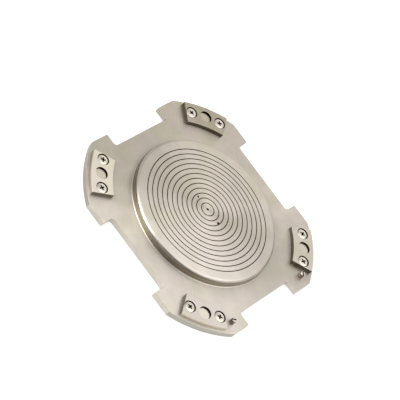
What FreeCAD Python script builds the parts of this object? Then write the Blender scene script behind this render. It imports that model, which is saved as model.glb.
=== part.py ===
# Vacuum chuck for a film frame: a grooved disc that stands on a four lobed plate,
# with a magnet block on each lobe and two pins that enter the notches of the frame.
# Lengths are millimetres. +Z is up, the origin is the middle of the underside,
# and +X points at the side with the two frame pins.

import FreeCAD, Part
import math
import os

# Vacuum disc, turned in one piece with the plate
DISC_RADIUS = 72.2
DISC_HEIGHT = 8.0
DISC_RIM_ROUND = 2.8
DISC_FOOT_CHAMFER = 1.2

# Outline of the base plate, from the disc outwards
LEDGE_WIDTH = 18.6
NOTCH_DEPTH = 12.7
NOTCH_WIDTH = 73.0
NOTCH_CORNER_RADIUS = 3.0
LOBE_RISE = 14.5
PLATE_THICKNESS = 6.0
PLATE_TOP_CHAMFER = 0.3
PLATE_UNDERSIDE_CHAMFER = 0.4

# Ring grooves that spread the vacuum
GROOVE_COUNT = 12
FIRST_GROOVE_RADIUS = 6.5
GROOVE_BORDER = 10.7
GROOVE_WIDTH = 0.7
GROOVE_DEPTH = 0.8

# Vacuum holes in the top face, all on the X axis above the gallery. The small one lies
# midway between the second and third groove, the large one just short of the third.
FEED_HOLE_RADIUS = 0.3
CENTRE_HOLE_RADIUS = 0.9
SMALL_HOLE_RADIUS = 0.7
LARGE_HOLE_RADIUS = 1.0
LARGE_HOLE_TO_GROOVE = 0.1

# Gallery drilled along X from the -X notch floor, and the plug in its mouth
GALLERY_RADIUS = 1.25
GALLERY_END_SPARE = 1.5
PLUG_RADIUS = 2.0
PLUG_LENGTH = 4.0
PLUG_SETBACK = 0.5
PLUG_SOCKET_ACROSS_FLATS = 2.0
PLUG_SOCKET_DEPTH = 1.6

# Vacuum port in the middle of the underside, with a face seal round it
PORT_RADIUS = 4.0
PORT_DEPTH = 5.0
SEAL_RADIUS = 6.5
SEAL_SECTION = 1.5
SEAL_SQUEEZE = 0.4
SEAL_SIDE_GAP = 0.12

# Threaded holes in the underside that hold the chuck to a stage
STAGE_BOLT_COUNT = 4
STAGE_BOLT_CIRCLE_RADIUS = 50.0
STAGE_BOLT_FIRST_ANGLE = 45.0
STAGE_BOLT_TAP_RADIUS = 2.1
STAGE_BOLT_DEPTH = 10.0
STAGE_BOLT_MOUTH_CHAMFER = 0.4

# Magnet blocks
BLOCK_SETBACK = 2.5
BLOCK_WIDTH = 21.5
BLOCK_HALF_ANGLE = 11.4
BLOCK_HEIGHT = 4.5
BLOCK_EDGE_CHAMFER = 0.3
HOLE_ROW_OFFSET = 0.55

# Magnets, bonded to the plate inside the block's through hole
MAGNET_RADIUS = 5.9
MAGNET_THICKNESS = 2.4
MAGNET_EDGE_CHAMFER = 0.3
MAGNET_SIDE_GAP = 0.1

# Flat head screws, two in each block
SCREW_THREAD_RADIUS = 2.5
SCREW_HEAD_RADIUS = 4.9
SCREW_HEAD_RIM = 0.3
SCREW_TIP_HEIGHT = 0.2
SCREW_HOLE_GAP = 0.25
THREAD_GAP = 0.05
COUNTERSINK_MARGIN = 0.8
COUNTERSINK_END_LAND = 0.2
RECESS_SPAN = 2.4
RECESS_WIDTH = 1.35
RECESS_DEPTH = 1.6
RECESS_TURN_STEP = 37.0

# Frame pins, each with a thinner shank that is pressed into the plate and a driver's slot
# across its top. The slots stand as they came to rest, so each has its own direction.
PIN_RADIUS = 2.5
PIN_STAND_OUT = 5.5
PIN_SHANK_RADIUS = 2.0
PIN_SHANK_LENGTH = 4.8
PIN_FROM_RIM = 11.2
PIN_FROM_BLOCK_ANGLE = 4.5
PIN_END_CHAMFER = 0.5
PIN_SLOT_WIDTH = 1.2
PIN_SLOT_DEPTH = 1.4
FRONT_PIN_SLOT_TURN = 54.0
BACK_PIN_SLOT_TURN = -40.0
PIN_KNOCK_OUT_RADIUS = 1.2

# Heights that follow from the sizes above
DISC_TOP = PLATE_THICKNESS + DISC_HEIGHT
BLOCK_TOP = PLATE_THICKNESS + BLOCK_HEIGHT
GALLERY_HEIGHT = PLATE_THICKNESS / 2
SCREW_HEAD_TOP = BLOCK_TOP - COUNTERSINK_MARGIN + SCREW_HEAD_RIM
SEAL_DEPTH = SEAL_SECTION - SEAL_SQUEEZE

# Places and widths that follow from them
NOTCH_FLOOR = DISC_RADIUS + LEDGE_WIDTH
FLAT_TO_MIDDLE = NOTCH_FLOOR + NOTCH_DEPTH
LOBE_RADIUS = FLAT_TO_MIDDLE + LOBE_RISE
GROOVE_PITCH = (DISC_RADIUS - GROOVE_BORDER - FIRST_GROOVE_RADIUS) / (GROOVE_COUNT - 1)
SMALL_HOLE_TO_MIDDLE = FIRST_GROOVE_RADIUS + 1.5 * GROOVE_PITCH
THIRD_GROOVE_RADIUS = FIRST_GROOVE_RADIUS + 2 * GROOVE_PITCH
LARGE_HOLE_TO_MIDDLE = THIRD_GROOVE_RADIUS - LARGE_HOLE_RADIUS - LARGE_HOLE_TO_GROOVE
GALLERY_END = LARGE_HOLE_TO_MIDDLE + GALLERY_END_SPARE
BLOCK_OUTER_RADIUS = LOBE_RADIUS - BLOCK_SETBACK
BLOCK_INNER_RADIUS = BLOCK_OUTER_RADIUS - BLOCK_WIDTH
HOLE_ROW_RADIUS = (BLOCK_INNER_RADIUS + BLOCK_OUTER_RADIUS) / 2 + HOLE_ROW_OFFSET
COUNTERSINK_RADIUS = SCREW_HEAD_RADIUS + COUNTERSINK_MARGIN
COUNTERSINK_DEPTH = COUNTERSINK_RADIUS - SCREW_THREAD_RADIUS - SCREW_HOLE_GAP
SCREW_FROM_END = COUNTERSINK_RADIUS + COUNTERSINK_END_LAND
SCREW_HALF_SPREAD = BLOCK_HALF_ANGLE - math.degrees(math.asin(SCREW_FROM_END / HOLE_ROW_RADIUS))
PIN_CIRCLE_RADIUS = LOBE_RADIUS - PIN_FROM_RIM
# The squeezed seal keeps the area of section that it has when it is round
SEAL_HALF_WIDTH = math.pi * SEAL_SECTION ** 2 / 8 / SEAL_DEPTH

# One name for each lobe, with the direction of its middle line in degrees
LOBES = {"front_right": -45.0, "back_right": 45.0, "back_left": 135.0, "front_left": -135.0}

UP = FreeCAD.Vector(0, 0, 1)
ALONG_X = FreeCAD.Vector(1, 0, 0)
MIDDLE = FreeCAD.Vector(0, 0, 0)
# Coordinates closer than this count as the same
TINY = 1e-6


def point(x, y, z=0.0):
    """A point as a vector."""
    return FreeCAD.Vector(x, y, z)


def polar(radius, degrees, z=0.0):
    """The point at a radius and a direction about the Z axis."""
    angle = math.radians(degrees)
    return point(radius * math.cos(angle), radius * math.sin(angle), z)


def turned(shape, degrees):
    """A copy of the shape, turned about the Z axis."""
    copy = shape.copy()
    copy.rotate(MIDDLE, UP, degrees)
    return copy


def rod(radius, x, y, low, high):
    """An upright cylinder between two heights."""
    return Part.makeCylinder(radius, high - low, point(x, y, low))


def revolved(corners):
    """A solid turned about the Z axis from (radius, height) corners."""
    wire = Part.makePolygon([point(r, 0, z) for r, z in corners + corners[:1]])
    return Part.Face(wire).revolve(MIDDLE, UP, 360)


def edges_at(shape, height):
    """The edges of a shape that lie wholly at one height."""
    return [
        edge
        for edge in shape.Edges
        if abs(edge.BoundBox.ZMin - height) < TINY and abs(edge.BoundBox.ZMax - height) < TINY
    ]


def notch():
    """What is milled away for the notch on the +X side, with its two inner corners rounded."""
    corner = point(NOTCH_FLOOR, -NOTCH_WIDTH / 2)
    block = Part.makeBox(LOBE_RADIUS - NOTCH_FLOOR, NOTCH_WIDTH, PLATE_THICKNESS, corner)
    inner = [
        edge
        for edge in block.Edges
        if abs(edge.BoundBox.XMax - NOTCH_FLOOR) < TINY and edge.BoundBox.ZLength > TINY
    ]
    return block.makeFillet(NOTCH_CORNER_RADIUS, inner)


def bare_plate():
    """The plate as it is milled: a round with four flats and four notches, rims chamfered."""
    flat = FLAT_TO_MIDDLE
    square = Part.makeBox(2 * flat, 2 * flat, PLATE_THICKNESS, point(-flat, -flat))
    plate = rod(LOBE_RADIUS, 0, 0, 0, PLATE_THICKNESS).common(square)
    plate = plate.cut([turned(notch(), 90 * quarter) for quarter in range(4)])
    plate = plate.makeChamfer(PLATE_TOP_CHAMFER, edges_at(plate, PLATE_THICKNESS))
    return plate.makeChamfer(PLATE_UNDERSIDE_CHAMFER, edges_at(plate, 0.0))


def groove_radii():
    """The middle radius of each ring groove."""
    return [FIRST_GROOVE_RADIUS + GROOVE_PITCH * ring for ring in range(GROOVE_COUNT)]


def vacuum_disc():
    """The turned disc: ring grooves, rounded rim, and a sloped foot where it meets the plate."""
    root = PLATE_THICKNESS / 2
    foot = DISC_RADIUS + DISC_FOOT_CHAMFER
    profile = [(0, DISC_TOP)]
    for radius in groove_radii():
        inner = radius - GROOVE_WIDTH / 2
        outer = radius + GROOVE_WIDTH / 2
        floor = DISC_TOP - GROOVE_DEPTH
        profile += [(inner, DISC_TOP), (inner, floor), (outer, floor), (outer, DISC_TOP)]
    profile += [
        (DISC_RADIUS, DISC_TOP),
        (DISC_RADIUS, PLATE_THICKNESS + DISC_FOOT_CHAMFER),
        (foot, PLATE_THICKNESS),
        (foot, root),
        (0, root),
    ]
    disc = revolved(profile)
    rim = [edge for edge in edges_at(disc, DISC_TOP) if edge.BoundBox.XMax > DISC_RADIUS - TINY]
    return disc.makeFillet(DISC_RIM_ROUND, rim)


def vacuum_passages():
    """Everything the air moves through: port, gallery, and the holes up to the top face."""
    port = rod(PORT_RADIUS, 0, 0, 0, PORT_DEPTH)
    mouth = point(-NOTCH_FLOOR, 0, GALLERY_HEIGHT)
    gallery = Part.makeCylinder(GALLERY_RADIUS, NOTCH_FLOOR + GALLERY_END, mouth, ALONG_X)
    plug_seat = Part.makeCylinder(
        PLUG_RADIUS + THREAD_GAP, PLUG_SETBACK + PLUG_LENGTH, mouth, ALONG_X
    )
    holes = [
        rod(CENTRE_HOLE_RADIUS, 0, 0, GALLERY_HEIGHT, DISC_TOP),
        rod(SMALL_HOLE_RADIUS, -SMALL_HOLE_TO_MIDDLE, 0, GALLERY_HEIGHT, DISC_TOP),
        rod(LARGE_HOLE_RADIUS, LARGE_HOLE_TO_MIDDLE, 0, GALLERY_HEIGHT, DISC_TOP),
    ]
    groove_floor = DISC_TOP - GROOVE_DEPTH
    for radius in groove_radii():
        holes.append(rod(FEED_HOLE_RADIUS, -radius, 0, GALLERY_HEIGHT, groove_floor))
    return [port, gallery, plug_seat] + holes


def seal_groove():
    """The ring groove in the underside that holds the port seal."""
    half = SEAL_HALF_WIDTH + SEAL_SIDE_GAP
    inner = SEAL_RADIUS - half
    outer = SEAL_RADIUS + half
    return revolved([(inner, 0), (outer, 0), (outer, SEAL_DEPTH), (inner, SEAL_DEPTH)])


def stage_bolt_hole():
    """One tapped hole in the underside, chamfered at its mouth, on the X axis."""
    mouth = STAGE_BOLT_TAP_RADIUS + STAGE_BOLT_MOUTH_CHAMFER
    hole = revolved(
        [
            (0, 0),
            (mouth, 0),
            (STAGE_BOLT_TAP_RADIUS, STAGE_BOLT_MOUTH_CHAMFER),
            (STAGE_BOLT_TAP_RADIUS, STAGE_BOLT_DEPTH),
            (0, STAGE_BOLT_DEPTH),
        ]
    )
    hole.translate(point(STAGE_BOLT_CIRCLE_RADIUS, 0))
    return hole


def screw_places():
    """Node name, direction in degrees and turn of the recess of each block screw."""
    places = []
    for lobe, direction in LOBES.items():
        for number, side in ((1, -1), (2, 1)):
            turn = RECESS_TURN_STEP * len(places)
            places.append((f"block_screw_{lobe}_{number}", direction + side * SCREW_HALF_SPREAD, turn))
    return places


def pin_places():
    """Node name, direction in degrees and slot turn of each frame pin, beside the +X blocks."""
    direction = LOBES["back_right"] - BLOCK_HALF_ANGLE - PIN_FROM_BLOCK_ANGLE
    return [
        ("frame_pin_front", -direction, FRONT_PIN_SLOT_TURN),
        ("frame_pin_back", direction, BACK_PIN_SLOT_TURN),
    ]


def base_plate():
    """The plate and its disc as one solid, with every hole in it."""
    body = bare_plate().fuse(vacuum_disc())
    cuts = vacuum_passages() + [seal_groove()]
    for number in range(STAGE_BOLT_COUNT):
        angle = STAGE_BOLT_FIRST_ANGLE + 360.0 / STAGE_BOLT_COUNT * number
        cuts.append(turned(stage_bolt_hole(), angle))
    for _, direction, _ in screw_places():
        middle = polar(HOLE_ROW_RADIUS, direction)
        cuts.append(rod(SCREW_THREAD_RADIUS + THREAD_GAP, middle.x, middle.y, 0, PLATE_THICKNESS))
    pin_floor = PLATE_THICKNESS - PIN_SHANK_LENGTH
    for _, direction, _ in pin_places():
        middle = polar(PIN_CIRCLE_RADIUS, direction)
        cuts.append(rod(PIN_SHANK_RADIUS, middle.x, middle.y, pin_floor, PLATE_THICKNESS))
        cuts.append(rod(PIN_KNOCK_OUT_RADIUS, middle.x, middle.y, 0, pin_floor))
    return body.cut(cuts).removeSplitter()


def magnet_block(direction):
    """An arc shaped block with a hole for the magnet and two countersunk screw holes."""
    half = BLOCK_HALF_ANGLE
    corners = [
        polar(BLOCK_INNER_RADIUS, -half),
        polar(BLOCK_OUTER_RADIUS, -half),
        polar(BLOCK_OUTER_RADIUS, half),
        polar(BLOCK_INNER_RADIUS, half),
    ]
    outline = Part.Wire(
        [
            Part.makeLine(corners[0], corners[1]),
            Part.Arc(corners[1], polar(BLOCK_OUTER_RADIUS, 0), corners[2]).toShape(),
            Part.makeLine(corners[2], corners[3]),
            Part.Arc(corners[3], polar(BLOCK_INNER_RADIUS, 0), corners[0]).toShape(),
        ]
    )
    block = Part.Face(outline).extrude(point(0, 0, BLOCK_HEIGHT))
    block.translate(point(0, 0, PLATE_THICKNESS))
    block = block.makeChamfer(BLOCK_EDGE_CHAMFER, edges_at(block, BLOCK_TOP))
    cuts = [rod(MAGNET_RADIUS + MAGNET_SIDE_GAP, HOLE_ROW_RADIUS, 0, PLATE_THICKNESS, BLOCK_TOP)]
    clear = SCREW_THREAD_RADIUS + SCREW_HOLE_GAP
    for side in (-1, 1):
        middle = polar(HOLE_ROW_RADIUS, side * SCREW_HALF_SPREAD, BLOCK_TOP)
        cuts.append(rod(clear, middle.x, middle.y, PLATE_THICKNESS, BLOCK_TOP))
        cuts.append(
            Part.makeCone(
                clear,
                COUNTERSINK_RADIUS,
                COUNTERSINK_DEPTH,
                middle - point(0, 0, COUNTERSINK_DEPTH),
            )
        )
    return turned(block.cut(cuts), direction)


def magnet(direction):
    """A disc magnet with a chamfered upper rim, standing on the plate."""
    middle = polar(HOLE_ROW_RADIUS, direction)
    top = PLATE_THICKNESS + MAGNET_THICKNESS
    body = rod(MAGNET_RADIUS, middle.x, middle.y, PLATE_THICKNESS, top)
    return body.makeChamfer(MAGNET_EDGE_CHAMFER, edges_at(body, top))


def cross_recess():
    """The cross that a driver enters, cut down from the top of a screw head."""
    half = RECESS_WIDTH / 2
    arm = [(RECESS_SPAN, -half), (RECESS_SPAN, half), (half, half)]
    corners = []
    for quarter in range(4):
        corners += [turned(Part.Vertex(x, y, SCREW_HEAD_TOP), 90 * quarter).Point for x, y in arm]
    mouth = Part.Face(Part.makePolygon(corners + corners[:1]))
    return mouth.extrude(point(0, 0, -RECESS_DEPTH))


def block_screw(direction, turn):
    """A flat head screw seated in its countersink, with its tip just inside the underside."""
    rim = SCREW_HEAD_TOP - SCREW_HEAD_RIM
    neck = rim - (SCREW_HEAD_RADIUS - SCREW_THREAD_RADIUS)
    screw = revolved(
        [
            (0, SCREW_HEAD_TOP),
            (SCREW_HEAD_RADIUS, SCREW_HEAD_TOP),
            (SCREW_HEAD_RADIUS, rim),
            (SCREW_THREAD_RADIUS, neck),
            (SCREW_THREAD_RADIUS, SCREW_TIP_HEIGHT),
            (0, SCREW_TIP_HEIGHT),
        ]
    )
    screw = turned(screw.cut(cross_recess()), turn)
    screw.translate(polar(HOLE_ROW_RADIUS, direction))
    return screw


def frame_pin(direction, turn):
    """A shouldered pin: its shank fills the hole and its shoulder stands on the plate."""
    low = PLATE_THICKNESS - PIN_SHANK_LENGTH
    high = PLATE_THICKNESS + PIN_STAND_OUT
    pin = revolved(
        [
            (0, low),
            (PIN_SHANK_RADIUS, low),
            (PIN_SHANK_RADIUS, PLATE_THICKNESS),
            (PIN_RADIUS, PLATE_THICKNESS),
            (PIN_RADIUS, high - PIN_END_CHAMFER),
            (PIN_RADIUS - PIN_END_CHAMFER, high),
            (0, high),
        ]
    )
    across = 2 * PIN_RADIUS
    corner = point(-PIN_RADIUS, -PIN_SLOT_WIDTH / 2, high - PIN_SLOT_DEPTH)
    slot = Part.makeBox(across, PIN_SLOT_WIDTH, PIN_SLOT_DEPTH, corner)
    pin = turned(pin.cut(slot), turn)
    pin.translate(polar(PIN_CIRCLE_RADIUS, direction))
    return pin


def gallery_plug():
    """The headless socket screw that closes the gallery's mouth."""
    outer_end = PLUG_SETBACK - NOTCH_FLOOR
    plug = Part.makeCylinder(
        PLUG_RADIUS, PLUG_LENGTH, point(outer_end, 0, GALLERY_HEIGHT), ALONG_X
    )
    corner_radius = PLUG_SOCKET_ACROSS_FLATS / math.sqrt(3)
    corners = []
    for corner in range(6):
        angle = math.radians(60 * corner)
        y = corner_radius * math.cos(angle)
        z = GALLERY_HEIGHT + corner_radius * math.sin(angle)
        corners.append(point(outer_end, y, z))
    socket = Part.Face(Part.makePolygon(corners + corners[:1]))
    return plug.cut(socket.extrude(point(PLUG_SOCKET_DEPTH, 0, 0)))


def port_seal():
    """The ring seal, squeezed to a flat section in its groove and flush with the underside."""
    inner = SEAL_RADIUS - SEAL_HALF_WIDTH
    outer = SEAL_RADIUS + SEAL_HALF_WIDTH
    return revolved([(inner, 0), (outer, 0), (outer, SEAL_DEPTH), (inner, SEAL_DEPTH)])


def all_nodes():
    """Every piece of the chuck under its node name."""
    nodes = {"base_plate": base_plate()}
    for lobe, direction in LOBES.items():
        nodes[f"magnet_block_{lobe}"] = magnet_block(direction)
        nodes[f"magnet_{lobe}"] = magnet(direction)
    for name, direction, turn in screw_places():
        nodes[name] = block_screw(direction, turn)
    for name, direction, turn in pin_places():
        nodes[name] = frame_pin(direction, turn)
    nodes["gallery_plug"] = gallery_plug()
    nodes["port_seal"] = port_seal()
    return nodes


def main():
    """Builds every node and writes it to its own STEP file."""
    os.makedirs("parts", exist_ok=True)
    for name, shape in all_nodes().items():
        shape.exportStep(f"parts/{name}.step")
        box = shape.BoundBox
        print(
            f"{name}: {len(shape.Solids)} solid, valid {shape.isValid()}, volume {shape.Volume:.2f}, "
            f"x {box.XMin:.2f} {box.XMax:.2f}, y {box.YMin:.2f} {box.YMax:.2f}, "
            f"z {box.ZMin:.2f} {box.ZMax:.2f}"
        )


main()
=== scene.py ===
"""Dresses the vacuum chuck: a grooved vacuum disc on a lobed plate that holds a film frame.

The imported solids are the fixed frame. The plate with its disc, the magnet blocks, the magnets,
the screws and the pins are modelled again here with rounded rims and worked surfaces, in
millimetres, and turned to metres as each piece is finished. The gallery plug and the port seal
keep their solids and get a finish.
"""

import logging
import math
from collections.abc import Callable, Iterable, Sequence
from dataclasses import dataclass
from enum import Enum

import bmesh
import bpy
from mathutils import Euler, Matrix, Vector


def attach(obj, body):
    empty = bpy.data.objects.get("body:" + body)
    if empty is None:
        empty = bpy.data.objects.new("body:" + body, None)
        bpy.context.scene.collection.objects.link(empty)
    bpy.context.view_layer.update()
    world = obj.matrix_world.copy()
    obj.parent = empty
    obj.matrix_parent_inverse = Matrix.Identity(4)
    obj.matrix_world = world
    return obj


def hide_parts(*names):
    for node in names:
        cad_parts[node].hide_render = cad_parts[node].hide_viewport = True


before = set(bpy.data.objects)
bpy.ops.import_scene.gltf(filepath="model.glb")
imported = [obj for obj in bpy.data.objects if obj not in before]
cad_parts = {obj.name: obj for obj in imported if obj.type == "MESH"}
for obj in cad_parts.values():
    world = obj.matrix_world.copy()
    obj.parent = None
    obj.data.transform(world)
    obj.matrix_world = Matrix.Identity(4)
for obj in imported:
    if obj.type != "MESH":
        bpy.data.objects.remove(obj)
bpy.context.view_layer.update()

log = logging.getLogger("vacuum_chuck")

Colour = tuple[float, float, float]
Profile = Sequence[tuple[float, float]]
Socket = bpy.types.NodeSocket
Entry = float | Sequence[float] | bpy.types.NodeSocket

MM = 0.001
ORIGIN = (0.0, 0.0, 0.0)
UP = Vector((0.0, 0.0, 1.0))
WHITE = (1.0, 1.0, 1.0)

# Sizes that several pieces share, in millimetres and degrees
PLATE_TOP = 6.0
FITTINGS_RADIUS = 105.3
SCREW_HALF_SPREAD = 8.188
PIN_CIRCLE = 106.8
PIN_DIRECTION = 29.1
PIN_FLOOR = 1.2
# How far a cutter reaches past the face that it goes through
PAST = 1.0
# How near to a face's own place its middle is looked for when faces get their finishes
NEAR = 0.1

# A corner this near to a place counts as there, and doubled corners this near are merged
TOUCH = 1e-3
MERGE = 1e-4
# Normals that differ by less than this face the same way
SAME_WAY = 0.002
# Angles in radians: edges sharper than these part a level face from a wall, or stay sharp
CREASE = 0.5
SHARP = math.radians(35.0)

# Most of what a noise texture gives lies between these
NOISE_LOW = 0.3
NOISE_HIGH = 0.7

# Screws come to rest at any turn, so each is turned this many degrees past the one before
SCREW_TURN_STEP = 37.0


class Lobe(Enum):
    """The four lobes of the plate, each with the direction of its middle line in degrees."""

    FRONT_RIGHT = -45.0
    BACK_RIGHT = 45.0
    BACK_LEFT = 135.0
    FRONT_LEFT = -135.0

    @property
    def label(self) -> str:
        """The lobe's name as the CAD nodes spell it."""
        return self.name.lower()


# Painted light and shade: each block and magnet gets its own tone, lighter or darker by how
# the light falls on its lobe. Lighter and darker part of each
BLOCK_PAINTED_LIGHT_TONES = {
    Lobe.FRONT_RIGHT: ((0.71, 0.65, 0.565), (0.65, 0.59, 0.51)),
    Lobe.BACK_RIGHT: ((0.63, 0.58, 0.495), (0.58, 0.53, 0.45)),
    Lobe.BACK_LEFT: ((0.455, 0.41, 0.33), (0.40, 0.36, 0.285)),
    Lobe.FRONT_LEFT: ((0.79, 0.725, 0.615), (0.735, 0.67, 0.57)),
}
MAGNET_PAINTED_LIGHT_TONES = {
    Lobe.FRONT_RIGHT: ((0.84, 0.77, 0.66), (0.78, 0.715, 0.615)),
    Lobe.BACK_RIGHT: ((0.68, 0.635, 0.525), (0.63, 0.575, 0.48)),
    Lobe.BACK_LEFT: ((0.60, 0.535, 0.43), (0.53, 0.475, 0.38)),
    Lobe.FRONT_LEFT: ((0.73, 0.665, 0.555), (0.675, 0.615, 0.51)),
}


class Slot(Enum):
    """Material slot names of the pieces that are modelled here; this script doesn't assign them.
    """

    PLATE = "plate"
    BLOCK = "block"
    MAGNET = "magnet"
    SCREW = "screw"
    PIN = "pin"


class Work(Enum):
    """What a boolean does with its tools."""

    CUT = "DIFFERENCE"
    JOIN = "UNION"


class Mixed(Enum):
    """What a Mix node mixes: its data type and the ending of its sockets' identifiers."""

    COLOUR = ("RGBA", "Color")
    NUMBER = ("FLOAT", "Float")


class BodyFace(Enum):
    """The faces of the chuck's body by finish, with the place of their material."""

    PLATE = 0
    DISC = 1
    GROOVE = 2
    HOLE = 3
    ARC = 4


class BlockFace(Enum):
    """The faces of a magnet block by finish, with the place of their material."""

    OUTSIDE = 0
    HOLE = 1
    ARC = 2


class ScrewFace(Enum):
    """The faces of a screw by finish, with the place of their material."""

    OUTSIDE = 0
    RECESS = 1


class PinFace(Enum):
    """The faces of a frame pin by finish, with the place of their material."""

    NOSE = 0
    FLANK = 1
    SLOT = 2


def scaled(colour: Colour, level: float) -> Colour:
    """A colour made lighter or darker."""
    return tuple(level * part for part in colour)


def opaque(colour: Colour) -> tuple[float, float, float, float]:
    """A colour with full alpha, as a colour socket takes it."""
    return (*colour, 1.0)


class Tree:
    """A node tree that is filled by adding nodes whose inputs are given as values or sockets."""

    def __init__(self, tree: bpy.types.NodeTree) -> None:
        """Takes over a tree and removes what is in it."""
        self.tree = tree
        tree.nodes.clear()

    def add(self, kind: str, inputs: dict | None = None, **settings: object) -> bpy.types.Node:
        """Adds one node.

        Args:
            kind: The node's type, without its ShaderNode prefix where it has one.
            inputs: Value or output socket for each input, by name or place.
            settings: The node's own properties.

        Returns:
            The new node.
        """
        name = kind if kind.startswith("NodeGroup") else "ShaderNode" + kind
        node = self.tree.nodes.new(name)
        for key, value in settings.items():
            setattr(node, key, value)
        for key, value in (inputs or {}).items():
            self.feed(node.inputs[key], value)
        return node

    def feed(self, socket: Socket, value: Entry) -> None:
        """Gives an input socket a value, or links an output socket to it.

        Args:
            socket: The input socket.
            value: A value, or the output socket of another node.
        """
        if isinstance(value, bpy.types.NodeSocket):
            self.tree.links.new(value, socket)
        else:
            socket.default_value = value

    def group(self, effect: "Effect", **inputs: Entry) -> bpy.types.bpy_prop_collection:
        """Places an effect's node group and returns its outputs."""
        return self.add("Group", inputs, node_tree=effect.group()).outputs

    def math(self, operation: str, *values: Entry) -> Socket:
        """Adds a Math node and returns its output."""
        return self.add("Math", dict(enumerate(values)), operation=operation).outputs[0]

    def vector(self, operation: str, *values: Entry) -> bpy.types.bpy_prop_collection:
        """Adds a Vector Math node and returns its outputs."""
        return self.add("VectorMath", dict(enumerate(values)), operation=operation).outputs

    def product(self, first: Entry, second: Entry) -> Socket:
        """Multiplies two colours part by part."""
        return self.vector("MULTIPLY", first, second)["Vector"]

    def parts(self, vector: Entry) -> bpy.types.bpy_prop_collection:
        """The X, Y and Z of a vector."""
        return self.add("SeparateXYZ", {"Vector": vector}).outputs

    def joined(self, x: Entry, y: Entry, z: Entry = 0.0) -> Socket:
        """A vector from its X, Y and Z."""
        return self.add("CombineXYZ", {"X": x, "Y": y, "Z": z}).outputs[0]

    def noise(self, vector: Entry, scale: Entry, detail: float, roughness: float = 0.5) -> Socket:
        """Adds a noise texture that is read at a vector and returns its value."""
        inputs = {"Vector": vector, "Scale": scale, "Detail": detail, "Roughness": roughness}
        return self.add("TexNoise", inputs).outputs[0]

    def fit(self, value: Entry, low: Entry, high: Entry, to_low: float, to_high: float) -> Socket:
        """Maps one range smoothly to another.

        Args:
            value: What is mapped.
            low: Where the first range starts.
            high: Where the first range ends.
            to_low: What its start becomes.
            to_high: What its end becomes.

        Returns:
            The mapped value.
        """
        inputs = {"Value": value, "From Min": low, "From Max": high}
        inputs |= {"To Min": to_low, "To Max": to_high}
        return self.add("MapRange", inputs, interpolation_type="SMOOTHSTEP").outputs["Result"]

    def mix(
        self, factor: Entry, first: Entry, second: Entry, kind: Mixed = Mixed.COLOUR
    ) -> Socket:
        """Mixes two colours or numbers.

        Args:
            factor: Share of the second.
            first: The first colour or number.
            second: The second colour or number.
            kind: What is mixed.

        Returns:
            The mixture.
        """
        data_type, ending = kind.value
        node = self.add("Mix", data_type=data_type)
        entries = {"Factor_Float": factor, f"A_{ending}": first, f"B_{ending}": second}
        for socket in node.inputs:
            if socket.identifier in entries:
                self.feed(socket, entries[socket.identifier])
        return next(s for s in node.outputs if s.identifier == f"Result_{ending}")

    def surface(self, shader: dict[str, Entry]) -> None:
        """Adds the material's Principled BSDF and joins it to the output."""
        body = self.add("BsdfPrincipled", shader).outputs[0]
        self.add("OutputMaterial", {"Surface": body})


@dataclass(frozen=True)
class Effect:
    """A shader node group that finishes share, made when it is first asked for.

    An input is a number with its default, or a vector where the default is None. The outputs
    are numbers, and fill makes a socket for each from the tree and the input sockets.
    """

    name: str
    inputs: dict[str, float | None]
    outputs: tuple[str, ...]
    fill: Callable[[Tree, dict[str, Socket]], list[Socket]]

    def group(self) -> bpy.types.NodeTree:
        """Makes the group, or finds it where it is already made.

        Returns:
            The group's tree.
        """
        if self.name in bpy.data.node_groups:
            return bpy.data.node_groups[self.name]
        group = bpy.data.node_groups.new(self.name, "ShaderNodeTree")
        for title, default in self.inputs.items():
            kind = "NodeSocketVector" if default is None else "NodeSocketFloat"
            socket = group.interface.new_socket(name=title, in_out="INPUT", socket_type=kind)
            if default is not None:
                socket.default_value = default
        for title in self.outputs:
            group.interface.new_socket(name=title, in_out="OUTPUT", socket_type="NodeSocketFloat")
        tree = Tree(group)
        entry = tree.add("NodeGroupInput")
        results = self.fill(tree, {title: entry.outputs[title] for title in self.inputs})
        tree.add("NodeGroupOutput", dict(zip(self.outputs, results)))
        return group


def fill_turned_rings(tree: Tree, given: dict[str, Socket]) -> list[Socket]:
    """Fine rings about the Z axis, as a lathe tool leaves them.

    Args:
        tree: The group's tree.
        given: Its inputs: Vector, Spacing of the rings and how far they Wander.

    Returns:
        Fine and broad rings.
    """
    parts = tree.parts(given["Vector"])
    flat = tree.joined(parts["X"], parts["Y"])
    radius = tree.vector("LENGTH", flat)["Value"]
    turn = tree.parts(tree.vector("NORMALIZE", flat)["Vector"])
    step = tree.math("DIVIDE", radius, given["Spacing"])
    sway = [tree.math("MULTIPLY", turn[axis], given["Wander"]) for axis in "XY"]
    where = tree.joined(step, *sway)
    return [tree.noise(where, 1.0, 3.0), tree.noise(where, 0.12, 2.0)]


def fill_brushed_grain(tree: Tree, given: dict[str, Socket]) -> list[Socket]:
    """Short scratches that run along the X of the vector.

    Args:
        tree: The group's tree.
        given: Its inputs: Vector, and the scratches' Length and Width.

    Returns:
        The scratches' height.
    """
    parts = tree.parts(given["Vector"])
    along = tree.math("DIVIDE", parts["X"], given["Length"])
    across = [tree.math("DIVIDE", parts[axis], given["Width"]) for axis in "YZ"]
    return [tree.noise(tree.joined(along, *across), 1.0, 3.0)]


def fill_cloudiness(tree: Tree, given: dict[str, Socket]) -> list[Socket]:
    """Soft patches of lighter and darker plating.

    Args:
        tree: The group's tree.
        given: Its inputs: Vector, and the Size of a patch.

    Returns:
        How light the plating is, from 0 to 1.
    """
    scale = tree.math("DIVIDE", 1.0, given["Size"])
    noise = tree.noise(given["Vector"], scale, 2.0, 0.45)
    return [tree.fit(noise, NOISE_LOW, NOISE_HIGH, 0.0, 1.0)]


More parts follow.
